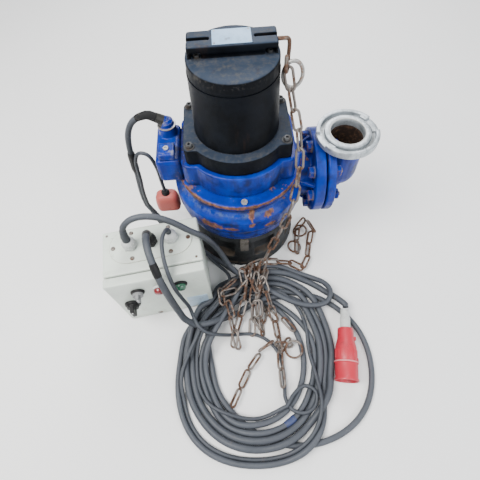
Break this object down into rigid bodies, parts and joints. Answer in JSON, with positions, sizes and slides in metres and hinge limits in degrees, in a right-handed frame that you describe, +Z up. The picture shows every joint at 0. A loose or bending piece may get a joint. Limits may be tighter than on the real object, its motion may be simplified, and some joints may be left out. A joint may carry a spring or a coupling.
{
  "type": "submersible pump",
  "caption": "Portable submersible sewage pump on a ring stand, with elbow outlet and claw hose coupling, lifting chain, control box, plug and float switch on coiled cables.",
  "frame": {"origin": "centre of the stand's flat bottom, under the motor shaft, at the floor", "axes": "+Z up along the motor shaft, +X towards the outlet elbow, -Y towards the coiled cables and the camera"},
  "size_m": [0.5824, 0.723, 0.518],
  "materials": {
    "aluminium": "dull cast aluminium",
    "black_paint": "charcoal paint, worn",
    "black_plastic": "black plastic",
    "black_rubber": "rubber",
    "blue_paint": "glossy royal-blue paint, scuffed and rust-stained",
    "box_paint": "pale grey-green paint",
    "dusty_iron": "dusty black cast iron",
    "green_lens": "dark green lamp lens",
    "grey_cable": "smooth grey-black cable jacket",
    "grey_plastic": "light grey plastic",
    "plain_plate": "bare pale-blue plate",
    "red_plastic": "red plastic",
    "rusty_steel": "rusty steel wire",
    "salmon_plastic": "faded salmon-red plastic",
    "zinc_steel": "galvanised steel"
  },
  "bodies": {
    "pump_set": {"box_body": "box_paint", "box_door": "box_paint", "box_gland_left": "grey_plastic", "box_gland_middle": "black_plastic", "box_gland_right": "grey_plastic", "cable_coil": "grey_cable", "cable_entry_housing": "blue_paint", "chain_beside_plug": "rusty_steel", "chain_on_coil": "rusty_steel", "chain_on_floor": "rusty_steel", "chain_ring": "zinc_steel", "chain_tail": "rusty_steel", "coupling_ring": "aluminium", "discharge_bolt_back_high": "rusty_steel", "discharge_bolt_back_low": "rusty_steel", "discharge_bolt_front_high": "rusty_steel", "discharge_bolt_front_low": "rusty_steel", "discharge_elbow": "blue_paint", "discharge_gasket": "black_rubber", "door_label": "plain_plate", "door_seal": "black_rubber", "entry_clamp_pad": "zinc_steel", "flange_bolt_back_left": "zinc_steel", "flange_bolt_back_right": "zinc_steel", "flange_bolt_front_left": "zinc_steel", "flange_bolt_front_right": "zinc_steel", "float_body": "salmon_plastic", "float_cable_from_box": "grey_cable", "float_cable_to_float": "grey_cable", "float_collar": "black_plastic", "gland_plate": "box_paint", "green_lamp_bezel": "black_plastic", "green_lamp_lens": "green_lens", "handle_shackle": "rusty_steel", "lifting_chain": "rusty_steel", "main_switch_base": "black_plastic", "motor_cap": "black_paint", "motor_flange": "black_paint", "motor_housing": "black_paint", "oil_chamber": "blue_paint", "oil_plug": "zinc_steel", "plug_body": "red_plastic", "plug_front": "red_plastic", "plug_nut": "grey_plastic", "pump_cable_from_pump": "grey_cable", "pump_cable_to_box": "grey_cable", "pump_gland": "blue_paint", "rating_plate": "aluminium", "red_lamp_bezel": "black_plastic", "red_lamp_lens": "red_plastic", "selector_bezel": "black_plastic", "stand_ring": "dusty_iron", "supply_cable_from_box": "grey_cable", "supply_cable_to_plug": "grey_cable", "volute_casing": "blue_paint"},
    "main_switch_handle": {"main_switch_handle": "black_plastic"},
    "selector_knob": {"selector_knob": "grey_plastic"}
  },
  "joints": [
    {"name": "main_switch_turn", "type": "hinge", "parent": "pump_set", "child": "main_switch_handle", "pos_m": [-0.25151, -0.25071, 0.098], "axis": [0.1271, -0.9919, 0], "range_deg": [0, 90]},
    {"name": "selector_turn", "type": "hinge", "parent": "pump_set", "child": "selector_knob", "pos_m": [-0.22572, -0.2474, 0.153], "axis": [0.1271, -0.9919, 0], "range_deg": [-45, 45]}
  ]
}
